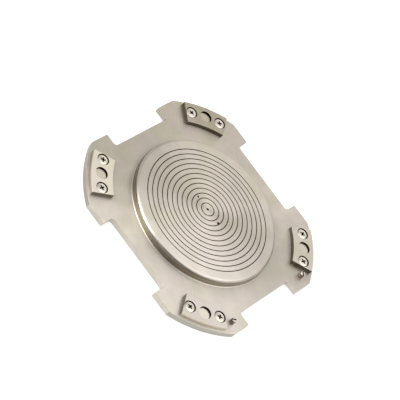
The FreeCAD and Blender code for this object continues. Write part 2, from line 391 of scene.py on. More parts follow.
def fill_painted_light_gradient(tree: Tree, given: dict[str, Socket]) -> list[Socket]:
    """Painted light and shade over the whole chuck: darker, warmer towards the back left.

    Args:
        tree: The group's tree.
        given: Its input: Vector.

    Returns:
        0 at the back left end, 1 at the front right end.
    """
    to_front_right, half_length = (0.7071, -0.7071, 0.0), 0.13
    reach = tree.vector("DOT_PRODUCT", given["Vector"], to_front_right)["Value"]
    return [tree.fit(reach, -half_length, half_length, 0.0, 1.0)]


def fill_specks(tree: Tree, given: dict[str, Socket]) -> list[Socket]:
    """A few small dark pits and dust marks.

    Args:
        tree: The group's tree.
        given: Its inputs: Vector, the Spread between places for a speck, its Size, and the
            Amount of places that have one.

    Returns:
        1 in a speck and 0 elsewhere.
    """
    scale = tree.math("DIVIDE", 1.0, given["Spread"])
    cells = tree.add("TexVoronoi", {"Vector": given["Vector"], "Scale": scale}).outputs
    chance = tree.add("SeparateColor", {"Color": cells["Color"]}).outputs[0]
    size = tree.math("DIVIDE", given["Size"], given["Spread"])
    near = tree.math("LESS_THAN", cells["Distance"], size)
    chosen = tree.math("LESS_THAN", chance, given["Amount"])
    return [tree.math("MULTIPLY", near, chosen)]


def fill_mill_lines(tree: Tree, given: dict[str, Socket]) -> list[Socket]:
    """Upright lines on walls, as the side of a milling cutter leaves them.

    Args:
        tree: The group's tree.
        given: Its inputs: Vector, Spacing of the lines, and the Limit of the normal's Z below
            which a face counts as a wall.

    Returns:
        The lines' height, and 1 on a wall and 0 on a level face.
    """
    parts = tree.parts(given["Vector"])
    scale = tree.math("DIVIDE", 1.0, given["Spacing"])
    lines = tree.noise(tree.joined(parts["X"], parts["Y"]), scale, 2.0)
    rise = tree.parts(tree.add("NewGeometry").outputs["Normal"])["Z"]
    blend_width = 0.3
    steepest = tree.math("SUBTRACT", given["Limit"], blend_width)
    wall = tree.fit(tree.math("ABSOLUTE", rise), steepest, given["Limit"], 1.0, 0.0)
    return [lines, wall]


TURNED_RINGS = Effect(
    "TurnedRings",
    {"Vector": None, "Spacing": 0.0004, "Wander": 0.6},
    ("Fine", "Broad"),
    fill_turned_rings,
)
BRUSHED_GRAIN = Effect(
    "BrushedGrain",
    {"Vector": None, "Length": 0.02, "Width": 0.0005},
    ("Height",),
    fill_brushed_grain,
)
CLOUDINESS = Effect("Cloudiness", {"Vector": None, "Size": 0.03}, ("Factor",), fill_cloudiness)
PAINTED_LIGHT_GRADIENT = Effect("PaintedLightGradient", {"Vector": None}, ("Factor",), fill_painted_light_gradient)
SPECKS = Effect(
    "Specks",
    {"Vector": None, "Spread": 0.006, "Size": 0.0004, "Amount": 0.25},
    ("Mask",),
    fill_specks,
)
MILL_LINES = Effect(
    "MillLines",
    {"Vector": None, "Spacing": 0.0004, "Limit": 0.6},
    ("Height", "Wall"),
    fill_mill_lines,
)


def new_material(name: str) -> tuple[bpy.types.Material, Tree, Socket]:
    """Makes a material with nothing in its tree but its coordinates.

    Args:
        name: The material's name.

    Returns:
        The material, its tree and the object coordinates.
    """
    material = bpy.data.materials.new(name)
    material.use_nodes = True
    tree = Tree(material.node_tree)
    return material, tree, tree.add("TexCoord").outputs["Object"]


@dataclass(frozen=True)
class SatinNickel:
    """Warm satin nickel plate, brushed on its flats, milled on its walls or turned in rings.

    Where ring_spacing is 0 the flats are brushed, and turned otherwise. Lengths in metres.
    Its walls carry painted shade, and a slow painted gradient of light and shade can run over it.
    """

    name: str
    light: Colour
    dark: Colour
    roughness: float
    anisotropy: float = 0.0
    ring_spacing: float = 0.0
    grain_turn: float = 0.0
    grain_length: float = 0.03
    grain_width: float = 0.001
    relief: float = 0.000004
    cloud_size: float = 0.016
    cloud_roughness: float = 0.05
    # Painted shade: the factors that darken the walls' colour
    wall_painted_dark: float = 0.75
    wall_painted_light: float = 1.0
    wall_limit: float = 0.6
    wall_roughness: float = 0.3
    wall_relief: float = 1.0
    # Tint of the painted shade on the walls
    wall_painted_tint: Colour = WHITE
    hue_size: float = 0.03
    cool_hue: Colour = (0.985, 1.0, 0.955)
    warm_hue: Colour = (1.015, 0.995, 1.03)
    # A slow painted gradient of light and shade: its strength, and its colours at either end
    painted_gradient: float = 0.16
    painted_gradient_shade: Colour = (1.0, 0.995, 0.965)
    painted_gradient_light: Colour = (1.0, 1.015, 1.035)
    speck: Colour = (0.16, 0.13, 0.10)
    speck_strength: float = 0.45

    def material(self) -> bpy.types.Material:
        """The finish as a material.

        Returns:
            The material.
        """
        material, tree, where = new_material(self.name)
        clouds = tree.group(CLOUDINESS, Vector=where, Size=self.cloud_size)["Factor"]
        walls = tree.group(MILL_LINES, Vector=where, Limit=self.wall_limit)
        lines, wall = walls["Height"], walls["Wall"]
        height, tone = self.flats(tree, where)
        spread = tree.mix(wall, self.roughness, self.wall_roughness, Mixed.NUMBER)
        spread = tree.math("ADD", tree.math("MULTIPLY", clouds, self.cloud_roughness), spread)
        ridges = tree.math("MULTIPLY", lines, self.wall_relief)
        relief = tree.mix(wall, height, ridges, Mixed.NUMBER)
        normal = tree.add("Bump", {"Height": relief, "Distance": self.relief}).outputs[0]
        plated = tree.math("MULTIPLY", tree.math("ADD", clouds, tone), 0.5)
        colour = tree.mix(plated, opaque(self.dark), opaque(self.light))
        # Painted shade: the walls' colour is darkened along the mill lines
        colour = tree.product(colour, self.wall_painted_shade(tree, lines, wall))
        colour = self.aged(tree, where, colour)
        shader = {"Base Color": colour, "Roughness": spread, "Normal": normal, "Metallic": 1.0}
        if self.anisotropy:
            tangent = tree.add("Tangent", direction_type="RADIAL", axis="Z").outputs[0]
            shader |= {"Anisotropic": self.anisotropy, "Tangent": tangent}
            # A quarter of a turn from the tangent
            shader["Anisotropic Rotation"] = 0.25
        tree.surface(shader)
        return material

    def flats(self, tree: Tree, where: Socket) -> tuple[Socket, Socket]:
        """The worked surface of the level faces.

        Args:
            tree: The material's tree.
            where: Object coordinates.

        Returns:
            Its relief, and what the colour follows.
        """
        if self.ring_spacing:
            rings = tree.group(TURNED_RINGS, Vector=where, Spacing=self.ring_spacing)
            return rings["Fine"], rings["Broad"]
        turn = (0.0, 0.0, math.radians(self.grain_turn))
        along = tree.add("Mapping", {"Vector": where, "Rotation": turn}).outputs[0]
        scratches = tree.group(
            BRUSHED_GRAIN, Vector=along, Length=self.grain_length, Width=self.grain_width
        )["Height"]
        return scratches, scratches

    def wall_painted_shade(self, tree: Tree, lines: Socket, wall: Socket) -> Socket:
        """Painted wall shade, a colour darker line by line, white elsewhere, to multiply in."""
        shade = tree.fit(lines, NOISE_LOW, NOISE_HIGH, self.wall_painted_dark, self.wall_painted_light)
        return tree.mix(wall, opaque(WHITE), tree.product(shade, self.wall_painted_tint))

    def aged(self, tree: Tree, where: Socket, colour: Socket) -> Socket:
        """Adds cooler and warmer patches, a slow painted gradient of light and shade, and specks.

        Args:
            tree: The material's tree.
            where: Object coordinates.
            colour: The plating's colour.

        Returns:
            The changed colour.
        """
        hue = tree.group(CLOUDINESS, Vector=where, Size=self.hue_size)["Factor"]
        hue = tree.mix(hue, opaque(self.cool_hue), opaque(self.warm_hue))
        start = opaque(scaled(self.painted_gradient_shade, 1.0 - self.painted_gradient))
        end = opaque(scaled(self.painted_gradient_light, 1.0 + self.painted_gradient))
        painted_gradient = tree.mix(tree.group(PAINTED_LIGHT_GRADIENT, Vector=where)["Factor"], start, end)
        colour = tree.product(tree.product(colour, hue), painted_gradient)
        specks = tree.group(SPECKS, Vector=where)["Mask"]
        share = tree.math("MULTIPLY", specks, self.speck_strength)
        return tree.mix(share, colour, opaque(self.speck))


@dataclass(frozen=True)
class PolishedSteel:
    """Bright polished steel with faint wear."""

    name: str
    colour: Colour
    roughness: float
    worn: float = 0.86
    worn_roughness: float = 0.06
    cloud_size: float = 0.002

    def material(self) -> bpy.types.Material:
        """The finish as a material.

        Returns:
            The material.
        """
        material, tree, where = new_material(self.name)
        clouds = tree.group(CLOUDINESS, Vector=where, Size=self.cloud_size)["Factor"]
        worn = opaque(scaled(self.colour, self.worn))
        colour = tree.mix(clouds, worn, opaque(self.colour))
        spread = tree.math("MULTIPLY", clouds, self.worn_roughness)
        spread = tree.math("ADD", spread, self.roughness)
        tree.surface({"Base Color": colour, "Roughness": spread, "Metallic": 1.0})
        return material


@dataclass(frozen=True)
class MattePlate:
    """Matte plating, moulding, or painted light and shade, with a fine bloom. Lengths in metres.
    """

    name: str
    light: Colour
    dark: Colour
    roughness: float
    metallic: float = 0.0
    relief: float = 0.000003
    gloss: float = 0.5
    cloud_size: float = 0.004
    bloom_size: float = 0.00025
    bloom_roughness: float = 0.1

    def material(self) -> bpy.types.Material:
        """The finish as a material.

        Returns:
            The material.
        """
        material, tree, where = new_material(self.name)
        clouds = tree.group(CLOUDINESS, Vector=where, Size=self.cloud_size)["Factor"]
        bloom = tree.noise(where, 1.0 / self.bloom_size, 2.0)
        colour = tree.mix(clouds, opaque(self.dark), opaque(self.light))
        spread = tree.math("MULTIPLY", bloom, self.bloom_roughness)
        spread = tree.math("ADD", spread, self.roughness)
        normal = tree.add("Bump", {"Height": bloom, "Distance": self.relief}).outputs[0]
        shader = {"Base Color": colour, "Roughness": spread, "Normal": normal}
        shader |= {"Metallic": self.metallic, "Specular IOR Level": self.gloss}
        tree.surface(shader)
        return material


def place(mesh: bmesh.types.BMesh, direction: float, radius: float, turn: float = 0.0) -> None:
    """Moves a mesh from the middle to a radius and direction, turned about its own axis.

    Args:
        mesh: The mesh, standing on the Z axis.
        direction: Degrees about Z from +X.
        radius: Distance from the Z axis in millimetres.
        turn: Degrees about the mesh's own axis, besides the direction.
    """
    away = Matrix.Rotation(math.radians(direction), 4, "Z") @ Matrix.Translation((radius, 0, 0))
    own = Matrix.Rotation(math.radians(turn), 4, "Z")
    bmesh.ops.transform(mesh, matrix=away @ own, verts=mesh.verts)


def spun(profile: Profile, steps: int) -> bmesh.types.BMesh:
    """Spins a chain of corners once about Z into a closed solid.

    Args:
        profile: Radius and height of each corner. A chain that doesn't start and end on the
            axis is closed.
        steps: Number of steps round the axis.

    Returns:
        The solid.
    """
    mesh = bmesh.new()
    corners = [mesh.verts.new((radius, 0.0, height)) for radius, height in profile]
    edges = [mesh.edges.new(pair) for pair in zip(corners, corners[1:])]
    if profile[0][0] and profile[-1][0]:
        edges.append(mesh.edges.new((corners[-1], corners[0])))
    bmesh.ops.spin(
        mesh,
        geom=corners + edges,
        cent=ORIGIN,
        axis=UP,
        angle=math.tau,
        steps=steps,
        use_merge=True,
    )
    bmesh.ops.remove_doubles(mesh, verts=mesh.verts, dist=MERGE)
    bmesh.ops.recalc_face_normals(mesh, faces=mesh.faces)
    return mesh


def rod(radius: float, low: float, high: float, sides: int) -> bmesh.types.BMesh:
    """Makes an upright cylinder on the Z axis.

    Args:
        radius: Its radius.
        low: Height of its lower end.
        high: Height of its upper end.
        sides: Number of its sides.

    Returns:
        The cylinder.
    """
    mesh = bmesh.new()
    bmesh.ops.create_cone(
        mesh,
        cap_ends=True,
        segments=sides,
        radius1=radius,
        radius2=radius,
        depth=high - low,
        matrix=Matrix.Translation((0, 0, (low + high) / 2)),
    )
    return mesh


def cuboid(size: Sequence[float], middle: Sequence[float]) -> bmesh.types.BMesh:
    """Makes an upright block.

    Args:
        size: Its length in X, Y and Z.
        middle: Its middle point.

    Returns:
        The block.
    """
    mesh = bmesh.new()
    bmesh.ops.create_cube(mesh, size=1.0)
    bmesh.ops.scale(mesh, vec=size, verts=mesh.verts)
    bmesh.ops.translate(mesh, vec=middle, verts=mesh.verts)
    return mesh


def raised(mesh: bmesh.types.BMesh, height: float) -> None:
    """Extrudes the flat faces of a mesh upwards into a closed solid.

    Args:
        mesh: The mesh.
        height: How far.
    """
    grown = bmesh.ops.extrude_face_region(mesh, geom=list(mesh.faces))["geom"]
    upper = [part for part in grown if isinstance(part, bmesh.types.BMVert)]
    bmesh.ops.translate(mesh, vec=(0, 0, height), verts=upper)
    bmesh.ops.recalc_face_normals(mesh, faces=mesh.faces)


def rounded(
    mesh: bmesh.types.BMesh, edges: Iterable[bmesh.types.BMEdge], size: float, steps: int
) -> None:
    """Rounds edges of a mesh.

    Args:
        mesh: The mesh.
        edges: The edges.
        size: Radius of the round in millimetres.
        steps: Number of faces across it.
    """
    bmesh.ops.bevel(
        mesh,
        geom=list(edges),
        offset=size,
        offset_type="OFFSET",
        segments=steps,
        profile=0.5,
        affect="EDGES",
        material=-1,
        clamp_overlap=False,
    )


def at_height(mesh: bmesh.types.BMesh, height: float) -> list[bmesh.types.BMEdge]:
    """Finds the edges at one height that part a level face from a wall.

    Args:
        mesh: The mesh.
        height: The height.

    Returns:
        The edges.
    """
    found = []
    for edge in mesh.edges:
        level = all(abs(corner.co.z - height) < TOUCH for corner in edge.verts)
        if level and len(edge.link_faces) == 2 and edge.calc_face_angle() > CREASE:
            found.append(edge)
    return found


def ring_at(mesh: bmesh.types.BMesh, radius: float, height: float) -> list[bmesh.types.BMEdge]:
    """Finds the edges of the ring that has one radius about Z and one height.

    Args:
        mesh: The mesh.
        radius: The ring's radius.
        height: The ring's height.

    Returns:
        The edges.
    """
    return [
        edge
        for edge in mesh.edges
        if all(
            abs(corner.co.z - height) < TOUCH and abs(corner.co.xy.length - radius) < TOUCH
            for corner in edge.verts
        )
    ]


def combined(
    body: bmesh.types.BMesh, tools: Sequence[bmesh.types.BMesh], work: Work = Work.CUT
) -> bmesh.types.BMesh:
    """Cuts tools from a body, or joins them to it. The tools don't touch each other.

    Args:
        body: The solid that is worked on; it is used up.
        tools: The solids that work on it; they are used up.
        work: What is done with the tools.

    Returns:
        The new solid.
    """
    shapes = []
    for name, parts in (("body", [body]), ("tools", tools)):
        data = bpy.data.meshes.new(name)
        gathered = bmesh.new()
        for part in parts:
            part.to_mesh(data)
            gathered.from_mesh(data)
            part.free()
        gathered.to_mesh(data)
        gathered.free()
        shape = bpy.data.objects.new(name, data)
        bpy.context.scene.collection.objects.link(shape)
        shapes.append(shape)
    modifier = shapes[0].modifiers.new("work", "BOOLEAN")
    modifier.object = shapes[1]
    modifier.operation = work.value
    modifier.solver = "EXACT"
    result = bmesh.new()
    result.from_object(shapes[0], bpy.context.evaluated_depsgraph_get())
    for shape in shapes:
        data = shape.data
        bpy.data.objects.remove(shape)
        bpy.data.meshes.remove(data)
    return result


def lean(face: bmesh.types.BMFace) -> str:
    """Says how a face leans.

    Args:
        face: The face.

    Returns:
        Level, upright or sloped.
    """
    rise = abs(face.normal.z)
    if rise > 1 - SAME_WAY:
        return "level"
    return "upright" if rise < SAME_WAY else "sloped"


def shade(mesh: bmesh.types.BMesh, keep_flats: bool) -> None:
    """Smooths the faces up to the angle at which an edge counts as sharp.

    Args:
        mesh: The mesh.
        keep_flats: Whether level and upright faces are kept apart from sloped ones.
    """
    mesh.normal_update()
    for face in mesh.faces:
        face.smooth = True
    for edge in mesh.edges:
        faces = edge.link_faces
        if len(faces) == 2:
            turns = keep_flats and lean(faces[0]) != lean(faces[1])
            edge.smooth = not turns and edge.calc_face_angle() < SHARP


def linked(name: str, mesh: bmesh.types.BMesh) -> bpy.types.Object:
    """Makes an object of a mesh and puts it in the scene.

    Args:
        name: The object's name.
        mesh: The mesh; it is used up.

    Returns:
        The object.
    """
    data = bpy.data.meshes.new(name)
    mesh.to_mesh(data)
    mesh.free()
    made = bpy.data.objects.new(name, data)
    bpy.context.scene.collection.objects.link(made)
    return made


def finished(
    mesh: bmesh.types.BMesh,
    name: str,
    node: str,
    materials: Sequence[bpy.types.Material],
    keep_flats: bool = True,
) -> bpy.types.Object:
    """Turns a mesh to metres and makes it a piece that stands for a CAD node.

    Args:
        mesh: The piece in millimetres; it is used up.
        name: The piece's name.
        node: The CAD node it stands for.
        materials: The piece's materials, in the order of its faces' indices.
        keep_flats: Whether level and upright faces are kept apart from sloped ones.

    Returns:
        The piece.
    """
    bmesh.ops.scale(mesh, vec=(MM, MM, MM), verts=mesh.verts)
    shade(mesh, keep_flats)
    piece = linked(name, mesh)
    for material in materials:
        piece.data.materials.append(material)
    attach(piece, "root")
    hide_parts(node)
    log.info("%s: %d faces", name, len(piece.data.polygons))
    return piece


@dataclass
class ChuckBody:
    """The lobed plate and the grooved disc, one turned and milled piece. Millimetres."""

    disc_radius: float = 72.2
    disc_top: float = 14.0
    disc_rim_round: float = 2.8
    disc_foot_round: float = 1.2
    # The foot is let into the plate, on a root that is wider than its round and goes deeper
    disc_sink: float = 0.02
    disc_root: float = 1.0
    disc_root_margin: float = 0.4
    plate_thickness: float = PLATE_TOP
    lobe_radius: float = 118.0
    flat_to_middle: float = 103.5
    notch_floor: float = 90.8
    notch_width: float = 73.0
    notch_corner: float = 3.0
    top_round: float = 0.25
    underside_round: float = 0.4
    groove_count: int = 12
    first_groove: float = 6.5
    last_groove: float = 61.5
    groove_width: float = 0.85
    groove_depth: float = 0.8
    groove_lip: float = 0.03
    # Radius and place along X of the holes in the top face
    air_holes_in_top: tuple[tuple[float, float], ...] = ((1.25, 0.0), (1.0, -14.0), (1.3, 15.4))
    feed_hole: float = 0.3
    feed_hole_overlap: float = 0.3
    gallery: float = 1.25
    gallery_height: float = 3.0
    gallery_end: float = 16.9
    # Radius and depth of the plug's seat and of the port
    plug_seat: tuple[float, float] = (2.05, 4.5)
    port: tuple[float, float] = (4.0, 5.0)
    # Inner radius, outer radius and depth
    seal_groove: tuple[float, float, float] = (5.58, 7.42, 1.1)
    # Radius, depth and radius of the bolt circle
    stage_bolt: tuple[float, float, float] = (2.1, 10.0, 50.0)
    bolt_mouth: float = 0.4
    drill_point: float = 0.6
    screw_hole: float = 2.55
    pin_hole: float = 2.0
    knock_out: float = 1.2
    round_steps: int = 256

    def grooves(self) -> list[float]:
        """The middle radius of each groove."""
        pitch = (self.last_groove - self.first_groove) / (self.groove_count - 1)
        return [self.first_groove + pitch * ring for ring in range(self.groove_count)]

    def plate(self) -> bmesh.types.BMesh:
        """Makes the plate: a round cut to four flats, with four notches and rounded rims.

        Returns:
            The plate's mesh.
        """
        mesh = bmesh.new()
        bmesh.ops.create_circle(
            mesh, cap_ends=True, segments=2 * self.round_steps, radius=self.lobe_radius
        )
        for quarter in range(4):
            side = Matrix.Rotation(math.tau / 4 * quarter, 3, "Z") @ Vector((1, 0, 0))
            bmesh.ops.bisect_plane(
                mesh,
                geom=list(mesh.verts) + list(mesh.edges) + list(mesh.faces),
                plane_co=side * self.flat_to_middle,
                plane_no=side,
                clear_outer=True,
            )
        raised(mesh, self.plate_thickness)
        mesh = combined(mesh, [self.notch(quarter) for quarter in range(4)])
        rounded(mesh, at_height(mesh, self.plate_thickness), self.top_round, 4)
        rounded(mesh, at_height(mesh, 0.0), self.underside_round, 3)
        return mesh

    def notch(self, quarter: int) -> bmesh.types.BMesh:
        """Makes what is milled away for one notch.

        Args:
            quarter: The notch's place, in quarter turns from +X.

        Returns:
            The cutter.
        """
        depth = self.lobe_radius - self.notch_floor
        middle = (self.notch_floor + depth / 2, 0, self.plate_thickness / 2)
        cutter = cuboid((depth, self.notch_width, 2 * self.plate_thickness), middle)
        inner = [
            edge
            for edge in cutter.edges
            if all(abs(corner.co.x - self.notch_floor) < TOUCH for corner in edge.verts)
            and abs(edge.verts[0].co.z - edge.verts[1].co.z) > TOUCH
        ]
        rounded(cutter, inner, self.notch_corner, 8)
        place(cutter, 90.0 * quarter, 0.0)
        return cutter

    def disc(self) -> bmesh.types.BMesh:
        """Makes the disc with its ring grooves, rounded rim and foot.

        Returns:
            The disc's mesh, with a root that ends inside the plate.
        """
        top = self.disc_top
        floor = top - self.groove_depth
        foot = self.plate_thickness - self.disc_sink
        root = foot - self.disc_root
        outline = [(0.0, top)]
        lips = []
        for middle in self.grooves():
            inner, outer = middle - self.groove_width / 2, middle + self.groove_width / 2
            outline += [(inner, top), (inner, floor), (outer, floor), (outer, top)]
            lips += [inner, outer]
        wide = self.disc_radius + self.disc_foot_round + self.disc_root_margin
        outline += [(self.disc_radius, top), (self.disc_radius, foot), (wide, foot)]
        outline += [(wide, root), (0.0, root)]
        mesh = spun(outline, self.round_steps)
        rounded(mesh, ring_at(mesh, self.disc_radius, foot), self.disc_foot_round, 8)
        rounded(mesh, ring_at(mesh, self.disc_radius, top), self.disc_rim_round, 6)
        rims = [edge for radius in lips for edge in ring_at(mesh, radius, top)]
        rounded(mesh, rims, self.groove_lip, 2)
        return mesh

    def fittings(self) -> list[bmesh.types.BMesh]:
        """Makes what is cut for the port, seal, bolts, screws, pins and the seat of the plug.

        Returns:
            The cutters.
        """
        below, through = -PAST, self.plate_thickness + PAST
        radius, depth = self.port
        cutters = [rod(radius, below, depth, 64)]
        inner, outer, deep = self.seal_groove
        cutters.append(spun([(inner, below), (outer, below), (outer, deep), (inner, deep)], 96))
        radius, depth, circle = self.stage_bolt
        mouth = radius + self.bolt_mouth
        bolt = [(0.0, below), (mouth, below), (mouth, 0.0), (radius, self.bolt_mouth)]
        bolt += [(radius, depth), (0.0, depth + self.drill_point * radius)]
        for quarter in range(4):
            cutter = spun(bolt, 48)
            place(cutter, 45.0 + 90.0 * quarter, circle)
            cutters.append(cutter)
        for lobe in Lobe:
            for side in (-1, 1):
                cutter = rod(self.screw_hole, below, through, 40)
                place(cutter, lobe.value + side * SCREW_HALF_SPREAD, FITTINGS_RADIUS)
                cutters.append(cutter)
        pin = [(0.0, below), (self.knock_out, below), (self.knock_out, PIN_FLOOR)]
        pin += [(self.pin_hole, PIN_FLOOR), (self.pin_hole, through), (0.0, through)]
        for side in (-1, 1):
            cutter = spun(pin, 40)
            place(cutter, side * PIN_DIRECTION, PIN_CIRCLE)
            cutters.append(cutter)
        radius, depth = self.plug_seat
        cutters.append(self.along_x(radius, -self.notch_floor + depth))
        return cutters

    def along_x(self, radius: float, end: float) -> bmesh.types.BMesh:
        """Makes a rod along X at the gallery's height, from outside the left notch inwards.

        Args:
            radius: Its radius.
            end: Where it ends.

        Returns:
            The rod.
        """
        mesh = rod(radius, -self.notch_floor - PAST, end, 32)
        turn = Matrix.Rotation(math.tau / 4, 3, "Y")
        bmesh.ops.rotate(mesh, matrix=turn, cent=ORIGIN, verts=mesh.verts)
        bmesh.ops.translate(mesh, vec=(0, 0, self.gallery_height), verts=mesh.verts)
        return mesh

    def air_holes(self) -> list[bmesh.types.BMesh]:
        """Makes what is drilled for the holes in the top face and the feed holes in the grooves.

        Returns:
            The cutters.
        """
        cutters = []
        for radius, x in self.air_holes_in_top:
            cutter = rod(radius, self.gallery_height, self.disc_top + PAST, 32)
            place(cutter, 0.0, x)
            cutters.append(cutter)
        above = self.disc_top - self.groove_depth + self.feed_hole_overlap
        for radius in self.grooves():
            cutter = rod(self.feed_hole, self.gallery_height, above, 12)
            place(cutter, 180.0, radius)
            cutters.append(cutter)
        return cutters

    def kind_of(self, face: bmesh.types.BMFace) -> BodyFace:
        """Tells the body's faces apart.

        Args:
            face: A face of the body.

        Returns:
            Its kind.
        """
        middle = face.calc_center_median()
        out = middle.xy.length
        if out > self.lobe_radius - NEAR and abs(face.normal.z) < SAME_WAY:
            return BodyFace.ARC
        edge_of_disc = self.disc_radius + self.disc_foot_round + NEAR
        if middle.z <= self.plate_thickness or out >= edge_of_disc:
            return BodyFace.PLATE
        edge_of_grooves = self.last_groove + self.groove_width
        if middle.z >= self.disc_top - self.groove_lip / 2 or out >= edge_of_grooves:
            return BodyFace.DISC
        deep = middle.z < self.disc_top - self.groove_depth - NEAR
        return BodyFace.HOLE if deep else BodyFace.GROOVE

    def build(self, finishes: dict[BodyFace, bpy.types.Material]) -> bpy.types.Object:
        """Builds and dresses the body.

        Args:
            finishes: The finish of each kind of face, in the order of their places.

        Returns:
            The piece.
        """
        mesh = combined(self.plate(), [self.disc()], Work.JOIN)
        # The gallery crosses the plug's seat and the air holes, so each is cut in its turn
        mesh = combined(mesh, self.fittings())
        mesh = combined(mesh, [self.along_x(self.gallery, self.gallery_end)])
        mesh = combined(mesh, self.air_holes())
        mesh.normal_update()
        for face in mesh.faces:
            face.material_index = self.kind_of(face).value
        return finished(mesh, "chuck_body", "base_plate", list(finishes.values()))


@dataclass
class MagnetBlock:
    """An arc shaped block with its magnet's hole and two countersunk screw holes. Millimetres."""

    lobe: Lobe
    inner: float = 94.0
    outer: float = 115.5
    half_angle: float = 11.4
    low: float = PLATE_TOP
    top: float = 10.5
    rim_round: float = 0.3
    magnet_hole: float = 6.0
    screw_hole: float = 2.75
    sink: float = 5.7
    steps: int = 24
    # A face whose middle is this near to a wall, in millimetres or degrees, belongs to it
    arc_margin: float = 0.2
    end_margin: float = 0.3
    side_margin: float = 1.0
    level_margin: float = 0.01

    def arc(self) -> bmesh.types.BMesh:
        """Makes the block without its holes, about the X axis.

        Returns:
            The block's mesh.
        """
        mesh = bmesh.new()
        ends = [mesh.verts.new((radius, 0, self.low)) for radius in (self.inner, self.outer)]
        edge = mesh.edges.new(ends)
        start = Matrix.Rotation(math.radians(-self.half_angle), 3, "Z")
        bmesh.ops.rotate(mesh, matrix=start, cent=ORIGIN, verts=mesh.verts)
        bmesh.ops.spin(
            mesh,
            geom=ends + [edge],
            cent=ORIGIN,
            axis=UP,
            angle=math.radians(2 * self.half_angle),
            steps=self.steps,
        )
        bmesh.ops.dissolve_faces(mesh, faces=list(mesh.faces))
        raised(mesh, self.top - self.low)
        rounded(mesh, at_height(mesh, self.top), self.rim_round, 3)
        return mesh

    def holes(self) -> list[bmesh.types.BMesh]:
        """Makes what is cut for the magnet and the two screws.

        Returns:
            The cutters.
        """
        low, high = self.low - PAST, self.top + PAST
        magnet = rod(self.magnet_hole, low, high, 96)
        place(magnet, 0.0, FITTINGS_RADIUS)
        cutters = [magnet]
        neck = self.top - (self.sink - self.screw_hole)
        outline = [(0.0, low), (self.screw_hole, low), (self.screw_hole, neck)]
        outline += [(self.sink, self.top), (self.sink, high), (0.0, high)]
        for side in (-1, 1):
            cutter = spun(outline, 64)
            place(cutter, side * SCREW_HALF_SPREAD, FITTINGS_RADIUS)
            cutters.append(cutter)
        return cutters

    def kind_of(self, face: bmesh.types.BMFace) -> BlockFace:
        """Tells the block's faces apart, while it lies about the X axis.

        Args:
            face: A face of the block.

        Returns:
            Its kind.
        """
        middle = face.calc_center_median()
        out = middle.xy.length
        aside = abs(math.degrees(math.atan2(middle.y, middle.x)))
        if aside > self.half_angle - self.end_margin:
            return BlockFace.OUTSIDE
        if out > self.outer - self.arc_margin:
            return BlockFace.ARC
        between = self.inner + self.side_margin < out < self.outer - self.side_margin
        lower, upper = self.low + self.level_margin, self.top - self.level_margin
        return BlockFace.HOLE if between and lower < middle.z < upper else BlockFace.OUTSIDE

    def build(self, finishes: dict[BlockFace, bpy.types.Material]) -> bpy.types.Object:
        """Builds and dresses the block.

        Args:
            finishes: The finish of each kind of face, in the order of their places.

        Returns:
            The piece.
        """
        mesh = combined(self.arc(), self.holes())
        for face in mesh.faces:
            face.material_index = self.kind_of(face).value
        place(mesh, self.lobe.value, 0.0)
        name, node = f"block_{self.lobe.label}", f"magnet_block_{self.lobe.label}"
        return finished(mesh, name, node, list(finishes.values()))


@dataclass
class Magnet:
    """A disc magnet that stands on the plate in its block's hole. Millimetres."""

    lobe: Lobe
    radius: float = 5.9
    low: float = PLATE_TOP
    top: float = 8.9
    rim_round: float = 0.3

    def build(self, finish: bpy.types.Material) -> bpy.types.Object:
        """Builds and dresses the magnet.

        Args:
            finish: Its finish.

        Returns:
            The piece.
        """
        outline = [(0.0, self.low), (self.radius, self.low), (self.radius, self.top)]
        mesh = spun(outline + [(0.0, self.top)], 96)
        rounded(mesh, ring_at(mesh, self.radius, self.top), self.rim_round, 3)
        place(mesh, self.lobe.value, FITTINGS_RADIUS)
        label = self.lobe.label
        return finished(mesh, f"disc_magnet_{label}", f"magnet_{label}", [finish])


